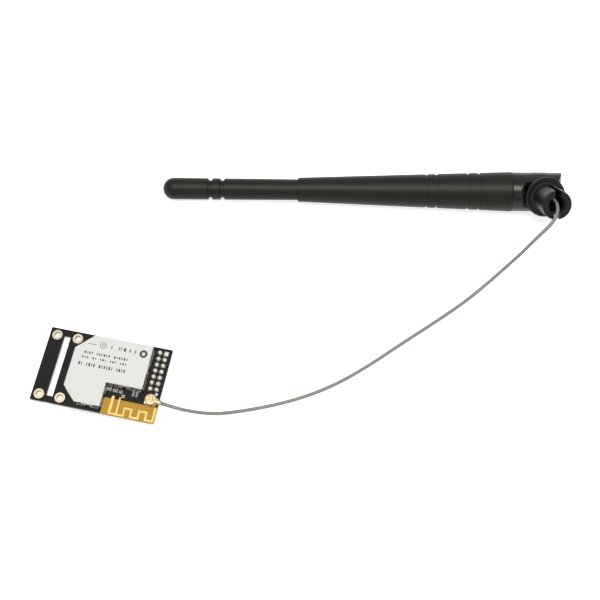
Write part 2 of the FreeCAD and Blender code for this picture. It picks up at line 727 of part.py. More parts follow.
def cable_path(points):
    """Straight runs joined by tangent arcs, each as large as its two runs allow."""
    edges, radii = [], []
    last = points[0]
    for before, here, after in zip(points, points[1:], points[2:]):
        arriving = (here - before)
        leaving = (after - here)
        shorter = min(arriving.Length, leaving.Length)
        turn = arriving.getAngle(leaving)
        reach = 0.45 * shorter
        radii.append(reach / math.tan(turn / 2))
        arriving.normalize()
        leaving.normalize()
        start = here - arriving * reach
        end = here + leaving * reach
        bisector = (leaving - arriving).normalize()
        centre = here + bisector * (radii[-1] / math.cos(turn / 2))
        middle = centre - bisector * radii[-1]
        edges.append(Part.LineSegment(last, start).toShape())
        edges.append(Part.Arc(start, middle, end).toShape())
        last = end
    edges.append(Part.LineSegment(last, points[-1]).toShape())
    return Part.Wire(edges), radii


def antenna_cable():
    points = [V(*p) for p in CABLE_ROUTE] + [plug_exit()]
    path, radii = cable_path(points)
    section = Part.Wire(Part.makeCircle(CABLE_RADIUS, points[0], points[1] - points[0]))
    cable = path.makePipeShell([section], True, True)
    expected = math.pi * CABLE_RADIUS ** 2 * path.Length
    print("cable length %.1f mm, volume %.2f of %.2f mm3" % (path.Length, cable.Volume, expected))
    print("cable bend radii, mm:", " ".join("%.1f" % r for r in radii))
    return cable


def whip_lean():
    """The whip's slope in degrees, with its tip and its sleeve's thick end on the surface."""
    run = SLEEVE_END - SLEEVE_END_FLAT - TIP_RADIUS
    reach = math.hypot(SLEEVE_END_RADIUS, run)
    return math.degrees(math.acos(TIP_RADIUS / reach) - math.atan2(run, SLEEVE_END_RADIUS))


def whip_placement():
    """The whip's frame: +X to the hinge end, +Y along the hinge's axis, origin at the pivot."""
    lean = math.radians(whip_lean())
    yaw = math.radians(WHIP_YAW)
    roll = math.radians(FOOT_ROLL)
    along = V(math.cos(yaw) * math.cos(lean), math.sin(yaw) * math.cos(lean), math.sin(lean))
    level = V(-math.sin(yaw), math.cos(yaw), 0)
    up = along.cross(level)
    side = up * math.cos(roll) - level * math.sin(roll)
    pivot_z = TIP_RADIUS + math.sin(lean) * (PIVOT_FROM_TIP - TIP_RADIUS)
    turn = FreeCAD.Rotation(along, side.cross(along), side, "XZY")
    return FreeCAD.Placement(V(PIVOT_X, PIVOT_Y, pivot_z), turn)


def knuckle_placement():
    """The folded foot's frame at rest: +Z along the foot, +Y along the hinge's axis."""
    return whip_placement().multiply(
        FreeCAD.Placement(V(0, 0, 0), FreeCAD.Rotation(V(0, 1, 0), 90 - FOOT_FOLD)))


def sleeve_radius(s):
    """The tapered body's radius at a distance from the tip."""
    slope = (SLEEVE_END_RADIUS - STEP_RADIUS) / (SLEEVE_END - SLEEVE_END_FLAT - STEP_FROM_TIP)
    return STEP_RADIUS + slope * (s - STEP_FROM_TIP)


def whip_sleeve():
    """The moulded sleeve: round tip, grooved thin part, step, taper and its stepped bore."""
    end = SLEEVE_END
    widest = end - SLEEVE_END_FLAT
    profile = [
        V(TIP_RADIUS, TIP_RADIUS, 0),
        V(STEP_FROM_TIP * 0.5, (TIP_RADIUS + WAIST_RADIUS) / 2, 0),
        V(STEP_FROM_TIP, WAIST_RADIUS, 0),
        V(STEP_FROM_TIP, STEP_RADIUS, 0),
        V(widest, SLEEVE_END_RADIUS, 0),
        V(end, SLEEVE_END_RADIUS - SLEEVE_END_FLAT / 2, 0),
        V(end, 0, 0),
        V(0, 0, 0),
    ]
    half_diagonal = TIP_RADIUS * math.sqrt(0.5)
    nose = Part.Arc(V(0, 0, 0), V(TIP_RADIUS - half_diagonal, half_diagonal, 0), profile[0])
    edges = [nose.toShape()]
    edges += [Part.makeLine(a, b) for a, b in zip(profile, profile[1:])]
    sleeve = Part.Face(Part.Wire(edges)).revolve(V(0, 0, 0), V(1, 0, 0), 360)
    socket = end - SOCKET_DEPTH
    cuts = [turned([
        (BORE_START, 0), (BORE_START, TIP_BORE_RADIUS), (STEP_FROM_TIP, TIP_BORE_RADIUS),
        (STEP_FROM_TIP + 1, BODY_BORE_RADIUS), (socket, BODY_BORE_RADIUS),
        (socket, SPIGOT_RADIUS + SOCKET_CLEARANCE), (end, SPIGOT_RADIUS + SOCKET_CLEARANCE),
        (end, 0)])]
    for s in TIP_GROOVES:
        cuts.append(groove_cutter(s, TIP_GROOVE_WIDTH, TIP_RADIUS, TIP_GROOVE_DEPTH))
    for s in [end - distance for distance in BODY_GROOVES_FROM_END]:
        cuts.append(groove_cutter(s, BODY_GROOVE_WIDTH, sleeve_radius(s), BODY_GROOVE_DEPTH))
    return from_tip(sleeve.cut(cuts))


def groove_cutter(s, width, radius, depth):
    """A ring-shaped cutter with sloping walls for a groove centred at a distance."""
    outside = radius + 1
    flare = depth * 0.5
    return turned([
        (s - width / 2 - flare, outside), (s - width / 2, radius - depth),
        (s + width / 2, radius - depth), (s + width / 2 + flare, outside)])


def from_tip(shape):
    """Places a shape that is drawn along +X from the whip's tip."""
    shift = FreeCAD.Placement(V(-PIVOT_FROM_TIP, 0, 0), FreeCAD.Rotation())
    return set_in(shape, whip_placement().multiply(shift))


def radiator_wire():
    return from_tip(rod_along(V(1, 0, 0), RADIATOR_RADIUS, RADIATOR_START, CHOKE_START))


def choke_tube():
    """The quarter-wave brass cup, closed at its tip end round the feed cable."""
    end = CHOKE_START + CHOKE_LENGTH
    cup = rod_along(V(1, 0, 0), CHOKE_RADIUS, CHOKE_START, end)
    hollow = rod_along(V(1, 0, 0), CHOKE_RADIUS - CHOKE_WALL, CHOKE_START + CHOKE_WALL, end)
    passage = rod_along(V(1, 0, 0), CABLE_RADIUS, CHOKE_START, end)
    return from_tip(cup.cut([hollow, passage]))


def feed_cable():
    """The cable's hidden stretch, from the pivot through the fork to the radiator."""
    return from_tip(rod_along(V(1, 0, 0), CABLE_RADIUS, CHOKE_START, PIVOT_FROM_TIP))


def hinge_fork():
    """The glossy fork: a spigot for the sleeve, a round body and two cheeks for the foot.
    Between the cheeks it is hollowed to the foot's barrel, and open above for the fold."""
    along, across, side = V(1, 0, 0), V(0, 1, 0), V(0, 0, 1)
    shoulder = SLEEVE_END - PIVOT_FROM_TIP
    body = rod_along(along, FORK_RADIUS, shoulder, CHEEK_END + 1)
    rounded_end = rod_along(across, CHEEK_END, -FORK_RADIUS, FORK_RADIUS)
    keep = rounded_end.fuse(box(shoulder, -FORK_RADIUS, -FORK_RADIUS, 0, FORK_RADIUS, FORK_RADIUS))
    body = body.common(keep)
    half_gap = CHEEK_GAP / 2
    way_out = box(0, -half_gap, -FORK_RADIUS, CHEEK_END + 1, half_gap, FORK_RADIUS)
    way_up = box(-THROAT, -half_gap, 0, 0, half_gap, FORK_RADIUS)
    hollow = rod_along(across, THROAT, -half_gap, half_gap)
    relief = rod_along(side, RELIEF_RADIUS, FORK_RADIUS - RELIEF_DEPTH, FORK_RADIUS + 1)
    pins = rod_along(across, TRUNNION_RADIUS + TRUNNION_CLEARANCE, -FORK_RADIUS, FORK_RADIUS)
    spigot = rod_along(along, SPIGOT_RADIUS, shoulder - SPIGOT_LENGTH, shoulder)
    feed = rod_along(along, FEED_BORE_RADIUS, shoulder - SPIGOT_LENGTH, 0)
    fork = body.cut([way_out, way_up, hollow, relief, pins]).fuse(spigot).cut(feed)
    return set_in(fork, whip_placement())


def hinge_knuckle():
    """The snap-in foot: barrel and trunnions, collar, and the split stub with its ridge."""
    across = V(0, 1, 0)
    barrel = rod_along(across, BARREL_RADIUS, -KNUCKLE_HALF, KNUCKLE_HALF)
    web = box(-BARREL_RADIUS, -KNUCKLE_HALF, 0, BARREL_RADIUS, KNUCKLE_HALF, COLLAR_INNER)
    trunnion_end = FORK_RADIUS - TRUNNION_INSET
    trunnions = rod_along(across, TRUNNION_RADIUS, -trunnion_end, trunnion_end)
    solid = barrel.fuse([web, trunnions, stub_form()])
    slot = box(-STUB_SLOT_WIDTH / 2, -RIDGE_RADIUS - 1, STUB_SLOT_START,
               STUB_SLOT_WIDTH / 2, RIDGE_RADIUS + 1, STUB_END)
    half = CABLE_SLOT_WIDTH / 2
    way_in = box(-BARREL_RADIUS, -half, -BARREL_RADIUS, half, half, CABLE_SLOT_REACH)
    bore = turned([
        (0, 0), (0, STUB_BORE_RADIUS), (STUB_END - STUB_MOUTH_DEPTH, STUB_BORE_RADIUS),
        (STUB_END, STUB_MOUTH_RADIUS), (STUB_END, 0)], V(0, 0, 1))
    return set_in(solid.cut([slot, way_in, bore]), knuckle_placement())


def stub_form():
    """The collar and stub as one turned form, flared at the neck and ridged at the end."""
    return turned([
        (COLLAR_INNER, 0), (COLLAR_INNER, COLLAR_RADIUS - COLLAR_BEVEL),
        (COLLAR_INNER + COLLAR_BEVEL, COLLAR_RADIUS),
        (COLLAR_OUTER - COLLAR_BEVEL, COLLAR_RADIUS),
        (COLLAR_OUTER, COLLAR_RADIUS - COLLAR_BEVEL),
        (COLLAR_OUTER, NECK_RADIUS + NECK_FLARE), (COLLAR_OUTER + NECK_FLARE, NECK_RADIUS),
        (RIDGE_START, NECK_RADIUS), (RIDGE_START + RIDGE_SLOPE, RIDGE_RADIUS),
        (STUB_END - NOSE_BEVEL, RIDGE_RADIUS), (STUB_END, RIDGE_RADIUS - NOSE_BEVEL),
        (STUB_END, 0)], V(0, 0, 1))


def report_places():
    """Prints the places that the record states: the hinge, the foot and the hole pattern."""
    whip = whip_placement()
    foot = knuckle_placement()
    axis = whip.Rotation.multVec(V(0, 1, 0))
    stub = foot.Rotation.multVec(V(0, 0, 1))
    seat = foot.multVec(V(0, 0, COLLAR_OUTER))
    centre = board_point(MOUNT_HOLE_EDGE_X + MOUNT_SPACING_X / 2,
                         MOUNT_HOLE_EDGE_Y + MOUNT_SPACING_Y / 2, BOARD_TOP)
    for name, v in [("pivot", whip.Base), ("hinge axis", axis), ("foot axis", stub),
                    ("panel seat", seat), ("hole pattern", centre), ("plug exit", plug_exit())]:
        print("%s: %.5f %.5f %.5f" % (name, v.x, v.y, v.z))


PARTS = {
    "circuit_board": circuit_board,
    "copper_pads": copper_pads,
    "printed_antenna": printed_antenna,
    "header_housing": header_housing,
    "header_pins": header_pins,
    "header_solder": header_solder,
    "shield_frame": shield_frame,
    "frame_solder": frame_solder,
    "shield_lid": shield_lid,
    "shield_label": shield_label,
    "radio_chip": radio_chip,
    "memory_chip": memory_chip,
    "crystal": crystal,
    "power_inductor": power_inductor,
    "bypass_capacitors": bypass_capacitors,
    "receptacle_base": receptacle_base,
    "receptacle_tabs": receptacle_tabs,
    "receptacle_ring": receptacle_ring,
    "receptacle_contact": receptacle_contact,
    "plug_shell": plug_shell,
    "plug_insert": plug_insert,
    "plug_spring": plug_spring,
    "antenna_cable": antenna_cable,
    "feed_cable": feed_cable,
    "radiator_wire": radiator_wire,
    "choke_tube": choke_tube,
    "whip_sleeve": whip_sleeve,
    "hinge_fork": hinge_fork,
    "hinge_knuckle": hinge_knuckle,
}


def main():
    os.makedirs("parts", exist_ok=True)
    report_places()
    for name, make in PARTS.items():
        shape = make()
        print("%s: %d solids, %.2f mm3, valid %s"
              % (name, len(shape.Solids), shape.Volume, shape.isValid()))
        shape.exportStep("parts/%s.step" % name)


main()
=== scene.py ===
"""A serial-to-wireless circuit module and its whip antenna, dressed and lit for a studio view.

Blender works in metres in the part's own frame. Sizes are written in millimetres here
and turned into metres by mm().
"""
import json
import math

import bmesh
import bpy
from mathutils import Matrix, Vector


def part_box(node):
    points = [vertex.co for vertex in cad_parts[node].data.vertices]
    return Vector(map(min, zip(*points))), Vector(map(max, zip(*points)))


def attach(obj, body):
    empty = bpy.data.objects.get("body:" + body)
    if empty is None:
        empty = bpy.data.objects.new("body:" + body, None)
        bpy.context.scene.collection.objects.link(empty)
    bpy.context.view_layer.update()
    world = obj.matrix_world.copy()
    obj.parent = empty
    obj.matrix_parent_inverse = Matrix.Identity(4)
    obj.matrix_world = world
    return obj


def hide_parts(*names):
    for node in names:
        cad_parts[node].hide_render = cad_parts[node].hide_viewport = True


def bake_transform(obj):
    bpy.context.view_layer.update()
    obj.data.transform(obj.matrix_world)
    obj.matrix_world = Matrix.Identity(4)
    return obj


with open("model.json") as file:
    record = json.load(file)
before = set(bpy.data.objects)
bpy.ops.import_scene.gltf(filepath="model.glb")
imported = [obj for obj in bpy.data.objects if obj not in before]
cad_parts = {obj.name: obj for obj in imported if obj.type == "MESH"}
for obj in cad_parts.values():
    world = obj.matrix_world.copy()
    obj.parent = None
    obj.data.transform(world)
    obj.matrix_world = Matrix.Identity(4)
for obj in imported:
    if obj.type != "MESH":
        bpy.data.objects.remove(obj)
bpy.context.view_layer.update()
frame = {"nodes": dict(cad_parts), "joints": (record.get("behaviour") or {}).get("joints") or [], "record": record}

NODES = frame["nodes"]
RECORD = frame["record"]
MODULE = "module_and_whip"
# Points nearer to each other than this, in metres, are one point
WELD = 1e-7


def mm(*values):
    """Millimetres as metres: one number, or a point."""
    metres = [v / 1000 for v in values]
    return metres[0] if len(metres) == 1 else Vector(metres)


def box_mm(node):
    """A node's lowest and highest corners in millimetres."""
    return [[round(v * 1000, 3) for v in corner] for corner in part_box(node)]


def named(rows, name):
    """The row of this name among the record's rows."""
    return next(row for row in rows if row["name"] == name)


BOARD_LOW, BOARD_HIGH = box_mm("circuit_board")
BOARD_TOP = BOARD_HIGH[2]
LABEL_TOP = box_mm("shield_label")[1][2]


# The photograph's view

LENS = 72
SENSOR = 36
NEAREST = 10
CAMERA_PLACE = (69.621, -120.688, 351.786)
VIEW_LINE = (-0.08427868, 0.40443073, -0.91067716)
RIGHT_LINE = (0.97896966, 0.20400591, 0)


def set_camera():
    """Sets the camera where the photograph's own camera stood."""
    lens = bpy.data.cameras.new("studio_camera")
    lens.lens = LENS
    lens.sensor_width = SENSOR
    lens.clip_start = mm(NEAREST)
    camera = bpy.data.objects.new("studio_camera", lens)
    bpy.context.scene.collection.objects.link(camera)
    forward = Vector(VIEW_LINE)
    right = Vector(RIGHT_LINE)
    up = right.cross(forward)
    turn = Matrix((right, up, -forward)).transposed()
    camera.matrix_world = Matrix.Translation(mm(*CAMERA_PLACE)) @ turn.to_4x4()
    bpy.context.scene.camera = camera


# The cable, from inside the foot to the plug's barrel

CABLE_DIAMETER = 1.13
CABLE_ROUTE = [
    (106.8, 86.4, 7.2), (107.9, 83.8, 10.5), (109.5, 80.8, 15.0), (111.0, 78.1, 18.0),
    (111.8, 75.15, 19.75), (111.95, 72.1, 20.1), (110.95, 69.1, 19.4), (109.1, 66.7, 18.0),
    (107.3, 64.7, 16.4), (105.4, 62.7, 13.9), (103.1, 60.5, 10.4), (100.0, 57.9, 5.9),
    (95.5, 53.4, 1.6), (89.4, 45.8, 0.6), (81.1, 36.7, 0.6), (72.3, 27.7, 0.6),
    (63.2, 17.9, 0.6), (54.5, 9.7, 0.6), (45.4, 3.3, 0.6), (36.0, -1.6, 0.65),
    (27.6, -5.2, 1.0), (21.1, -8.0, 2.4), (16.3, -9.6, 4.6), (12.3, -10.5, 6.8),
    (8.5, -10.9, 8.3), (3.67466, -10.31779, 8.3),
]


def cable_mesh(thickness):
    """The route's smooth line as a mesh: a line of points, or a tube if it has a thickness."""
    curve = bpy.data.curves.new("cable_line", "CURVE")
    curve.dimensions = "3D"
    curve.resolution_u = 6
    curve.bevel_depth = thickness / 2
    curve.bevel_resolution = 4
    curve.use_fill_caps = thickness > 0
    spline = curve.splines.new("NURBS")
    spline.points.add(len(CABLE_ROUTE) - 1)
    for point, place in zip(spline.points, CABLE_ROUTE):
        point.co = (*mm(*place), 1)
    spline.order_u = 3
    spline.use_endpoint_u = True
    holder = bpy.data.objects.new("cable_line", curve)
    mesh = bpy.data.meshes.new_from_object(holder)
    bpy.data.objects.remove(holder)
    return mesh


def close_ends(mesh):
    """Joins a tube's two end caps to its wall."""
    bm = bmesh.new()
    bm.from_mesh(mesh)
    bmesh.ops.remove_doubles(bm, verts=bm.verts, dist=WELD)
    bmesh.ops.recalc_face_normals(bm, faces=bm.faces)
    bm.to_mesh(mesh)
    bm.free()


def lay_cable(finish):
    """Lays the free cable in place of its plain solid."""
    line = [v.co.copy() for v in cable_mesh(0).vertices]
    cable = bpy.data.objects.new("free_cable", cable_mesh(mm(CABLE_DIAMETER)))
    bpy.context.scene.collection.objects.link(cable)
    close_ends(cable.data)
    cable.data.shade_smooth()
    cable.data.materials.clear()
    cable.data.materials.append(finish)
    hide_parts("antenna_cable")
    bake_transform(cable)


# How materials are made

def rgb(code):
    """An sRGB hex value as the linear colour that a shader takes."""
    parts = [int(code[i:i + 2], 16) / 255 for i in (0, 2, 4)]
    linear = [c / 12.92 if c <= 0.04045 else ((c + 0.055) / 1.055) ** 2.4 for c in parts]
    return (*linear, 1)


def per_mm(size):
    """The scale that gives a pattern features of this size in millimetres."""
    return 1 / mm(size)


def add(tree, kind, inputs=None, **settings):
    """Adds one node, with its settings, and its inputs set to values or linked to sockets."""
    made = tree.nodes.new("ShaderNode" + kind)
    for name, value in settings.items():
        setattr(made, name, value)
    for key, value in (inputs or {}).items():
        if isinstance(value, bpy.types.NodeSocket):
            tree.links.new(value, made.inputs[key])
        else:
            made.inputs[key].default_value = value
    return made


def start(name, **sockets):
    """A new material with its shader's plain values set, and the Object coordinates."""
    made = bpy.data.materials.new(name)
    made.use_nodes = True
    tree = made.node_tree
    shader = tree.nodes["Principled BSDF"]
    for socket, value in sockets.items():
        shader.inputs[socket.replace("_", " ")].default_value = value
    return made, tree, shader, add(tree, "TexCoord").outputs["Object"]


def dress(tree, shader, colour, roughness, height, relief, depth):
    """Links a pattern's colour and roughness to the shader, and its height as a relief of
    this strength and this depth in millimetres."""
    bump = add(tree, "Bump", {"Height": height, "Strength": relief, "Distance": mm(depth)})
    tree.links.new(colour, shader.inputs["Base Color"])
    tree.links.new(roughness, shader.inputs["Roughness"])
    tree.links.new(bump.outputs["Normal"], shader.inputs["Normal"])


# Between these two values lies most of what a noise pattern gives
NOISE_LOW = 0.3
NOISE_HIGH = 0.7
# A wave pattern scaled to this many times a width has bands of about that width
WAVE = 2 * math.pi


def grained(name, light, dark, grain, rough, relief, depth, stretch=(1, 1, 1), **sockets):
    """A finish whose tone, gloss and relief follow one grain of a real size in millimetres.
    A stretch under 1 draws the grain out along that axis, as rolling and drawing do."""
    made, tree, shader, place = start(name, **sockets)
    laid = add(tree, "Mapping", {"Vector": place, "Scale": stretch})
    noise = add(tree, "TexNoise", {"Vector": laid.outputs[0], "Scale": per_mm(grain),
                                   "Detail": 4.0, "Roughness": 0.6})
    spread = add(tree, "MapRange", {"Value": noise.outputs["Fac"], "From Min": NOISE_LOW,
                                    "From Max": NOISE_HIGH})
    tone = add(tree, "Mix", {0: spread.outputs[0], 6: rgb(dark), 7: rgb(light)},
               data_type="RGBA")
    gloss = add(tree, "MapRange", {"Value": noise.outputs["Fac"], "From Min": NOISE_LOW,
                                   "From Max": NOISE_HIGH, "To Min": rough[0],
                                   "To Max": rough[1]})
    dress(tree, shader, tone.outputs[2], gloss.outputs[0], noise.outputs["Fac"], relief, depth)
    return made


# The finishes

# The bare laminate round the printed antenna, from the board's left end and front edge
WINDOW_LEFT = 22.2
WINDOW_BACK = 5.2
# The routed slot's middle, from the board's left end, and how far its walls can be from it
SLOT_LINE = 5.65
SLOT_NEAR = 1.5
YARN_WIDTH = 0.55
# A face whose normal rises less than this looks sideways
SIDEWAYS = 0.5


def board_finish():
    """Glass-fibre laminate, pressed and then screened with black solder mask, which stops
    short of the printed antenna. The mask is a smooth glossy skin. Where it stops, the amber
    resin shows with its glass weave, and the sawn edges are a dull brown."""
    made, tree, shader, place = start("laminate_with_black_mask", IOR=1.32)
    at = add(tree, "SeparateXYZ", {0: place})
    beyond = add(tree, "Math", {0: at.outputs["X"], 1: mm(BOARD_LOW[0] + WINDOW_LEFT)},
                 operation="GREATER_THAN")
    below = add(tree, "Math", {0: at.outputs["Y"], 1: mm(BOARD_LOW[1] + WINDOW_BACK)},
                operation="LESS_THAN")
    window = add(tree, "Math", {0: beyond.outputs[0], 1: below.outputs[0]},
                 operation="MULTIPLY")
    facing = add(tree, "SeparateXYZ", {0: add(tree, "NewGeometry").outputs["Normal"]})
    upright = add(tree, "Math", {0: facing.outputs["Z"]}, operation="ABSOLUTE")
    sawn = add(tree, "Math", {0: upright.outputs[0], 1: SIDEWAYS}, operation="LESS_THAN")
    # The glass cloth's yarns, both ways
    weave = []
    for direction in "XY":
        weave.append(add(tree, "TexWave", {"Vector": place, "Scale": per_mm(YARN_WIDTH * WAVE),
                                           "Distortion": 0.6, "Detail": 1.0},
                         bands_direction=direction, wave_profile="SIN"))
    cloth = add(tree, "Math", {0: weave[0].outputs["Fac"], 1: weave[1].outputs["Fac"]},
                operation="MULTIPLY")
    cloud = add(tree, "TexNoise", {"Vector": place, "Scale": per_mm(2.5), "Detail": 3.0})
    resin = add(tree, "Mix", {0: cloth.outputs[0], 6: rgb("b98a26"), 7: rgb("c9992f")},
                data_type="RGBA")
    outer_edge = add(tree, "Mix", {0: cloud.outputs["Fac"], 6: rgb("3a3122"), 7: rgb("5c4e35")},
                     data_type="RGBA")
    # The slot is routed clean, so its walls are the pale bare glass cloth, with a lilac grey tint that is painted
    # shade
    from_slot = add(tree, "Math", {0: at.outputs["X"], 1: mm(BOARD_LOW[0] + SLOT_LINE)},
                    operation="SUBTRACT")
    off_slot = add(tree, "Math", {0: from_slot.outputs[0]}, operation="ABSOLUTE")
    routed = add(tree, "Math", {0: off_slot.outputs[0], 1: mm(SLOT_NEAR)},
                 operation="LESS_THAN")
    edge = add(tree, "Mix", {0: routed.outputs[0], 6: outer_edge.outputs[2], 7: rgb("b4b0b8")},
               data_type="RGBA")
    mask = add(tree, "Mix", {0: cloud.outputs["Fac"], 6: rgb("100f0e"), 7: rgb("191816")},
               data_type="RGBA")
    dark = add(tree, "Mix", {0: sawn.outputs[0], 6: mask.outputs[2], 7: edge.outputs[2]},
               data_type="RGBA")
    colour = add(tree, "Mix", {0: window.outputs[0], 6: dark.outputs[2], 7: resin.outputs[2]},
                 data_type="RGBA")
    gloss = add(tree, "MapRange", {"Value": window.outputs[0], "To Min": 0.14, "To Max": 0.45})
    skin = add(tree, "Math", {0: cloth.outputs[0], 1: window.outputs[0]}, operation="MULTIPLY")
    height = add(tree, "Math", {0: cloud.outputs["Fac"], 1: skin.outputs[0]}, operation="ADD")
    dress(tree, shader, colour.outputs[2], gloss.outputs[0], height.outputs[0], 0.12, 0.02)
    return made


# How far below and above the board's top the solder's tin fades in on a pin
WETTING = 0.1


def pin_finish():
    """Square brass pins with a gold flash, and bright tin where the solder has wetted them."""
    made, tree, shader, place = start("gold_flashed_and_tinned_pins", Metallic=1.0)
    at = add(tree, "SeparateXYZ", {0: place})
    grain = add(tree, "TexNoise", {"Vector": place, "Scale": per_mm(0.2), "Detail": 4.0})
    wetted = add(tree, "MapRange", {"Value": at.outputs["Z"],
                                    "From Min": mm(BOARD_TOP - WETTING),
                                    "From Max": mm(BOARD_TOP + WETTING)})
    gold = add(tree, "Mix", {0: grain.outputs["Fac"], 6: rgb("cfa95c"), 7: rgb("ecd08a")},
               data_type="RGBA")
    tin = add(tree, "Mix", {0: grain.outputs["Fac"], 6: rgb("cbc8be"), 7: rgb("e3e1d8")},
              data_type="RGBA")
    colour = add(tree, "Mix", {0: wetted.outputs[0], 6: gold.outputs[2], 7: tin.outputs[2]},
                 data_type="RGBA")
    gloss = add(tree, "MapRange", {"Value": grain.outputs["Fac"], "To Min": 0.2, "To Max": 0.34})
    dress(tree, shader, colour.outputs[2], gloss.outputs[0], grain.outputs["Fac"], 0.08, 0.005)
    return made


def steel_finish():
    """Tin-plated steel sheet, rolled and pressed: a bright grey with fine rolling lines along
    the board and a few soft clouds where hands have dulled it."""
    made, tree, shader, place = start("tinned_steel_sheet", Metallic=1.0)
    drawn = add(tree, "Mapping", {"Vector": place, "Scale": (0.06, 1, 1)})
    lines = add(tree, "TexNoise", {"Vector": drawn.outputs[0], "Scale": per_mm(0.12),
                                   "Detail": 4.0, "Roughness": 0.7})
    cloud = add(tree, "TexNoise", {"Vector": place, "Scale": per_mm(4.0), "Detail": 2.0})
    both = add(tree, "Math", {0: lines.outputs["Fac"], 1: cloud.outputs["Fac"]},
               operation="MULTIPLY")
    tone = add(tree, "Mix", {0: both.outputs[0], 6: rgb("a9a8a4"), 7: rgb("e6e5e1")},
               data_type="RGBA")
    gloss = add(tree, "MapRange", {"Value": both.outputs[0], "To Min": 0.3, "To Max": 0.12})
    dress(tree, shader, tone.outputs[2], gloss.outputs[0], lines.outputs["Fac"], 0.12, 0.006)
    return made


BRAID_WIDTH = 0.3
BRAID_ANGLE = 35


def cable_finish():
    """Extruded fluoropolymer jacket over a braid: a smooth grey skin, a little translucent,
    under which the braid's fine crossing wires show as a faint diamond pattern."""
    made, tree, shader, place = start("grey_fluoropolymer_jacket", IOR=1.35)
    weave = []
    for turn in (BRAID_ANGLE, -BRAID_ANGLE):
        laid = add(tree, "Mapping", {"Vector": place,
                                     "Rotation": (0.3, 0.2, math.radians(turn))})
        weave.append(add(tree, "TexWave", {"Vector": laid.outputs[0],
                                           "Scale": per_mm(BRAID_WIDTH * WAVE),
                                           "Distortion": 1.5, "Detail": 1.0}))
    braid = add(tree, "Math", {0: weave[0].outputs["Fac"], 1: weave[1].outputs["Fac"]},
                operation="MULTIPLY")
    scuff = add(tree, "TexNoise", {"Vector": place, "Scale": per_mm(3.0), "Detail": 3.0})
    worn = add(tree, "Math", {0: braid.outputs[0], 1: scuff.outputs["Fac"]},
               operation="MULTIPLY")
    tone = add(tree, "Mix", {0: worn.outputs[0], 6: rgb("918d86"), 7: rgb("a9a59e")},
               data_type="RGBA")
    gloss = add(tree, "MapRange", {"Value": scuff.outputs["Fac"], "To Min": 0.28,
                                   "To Max": 0.48})
    dress(tree, shader, tone.outputs[2], gloss.outputs[0], braid.outputs[0], 0.08, 0.01)
    return made


# The middles of the capacitors' two rows across the board, and half of a bare ceramic body
CAPACITOR_ROWS = (1.65, 3.45)
BARE_HALF = 0.28


def capacitor_finish():
    """Fired ceramic chips: a matt tan block, dipped in tin at its two ends."""
    made, tree, shader, place = start("fired_ceramic_with_tinned_ends")
    at = add(tree, "SeparateXYZ", {0: place})
    grain = add(tree, "TexNoise", {"Vector": place, "Scale": per_mm(0.08), "Detail": 2.0})
    reach = []
    for row in CAPACITOR_ROWS:
        away = add(tree, "Math", {0: at.outputs["Y"], 1: mm(row)}, operation="SUBTRACT")
        reach.append(add(tree, "Math", {0: away.outputs[0]}, operation="ABSOLUTE"))
    near = add(tree, "Math", {0: reach[0].outputs[0], 1: reach[1].outputs[0]},
               operation="MINIMUM")
    dipped = add(tree, "Math", {0: near.outputs[0], 1: mm(BARE_HALF)}, operation="GREATER_THAN")
    clay = add(tree, "Mix", {0: grain.outputs["Fac"], 6: rgb("a58360"), 7: rgb("c2a17c")},
               data_type="RGBA")
    colour = add(tree, "Mix", {0: dipped.outputs[0], 6: clay.outputs[2], 7: rgb("cfcdc8")},
                 data_type="RGBA")
    tree.links.new(dipped.outputs[0], shader.inputs["Metallic"])
    gloss = add(tree, "MapRange", {"Value": dipped.outputs[0], "To Min": 0.6, "To Max": 0.3})
    dress(tree, shader, colour.outputs[2], gloss.outputs[0], grain.outputs["Fac"], 0.1, 0.01)
    return made


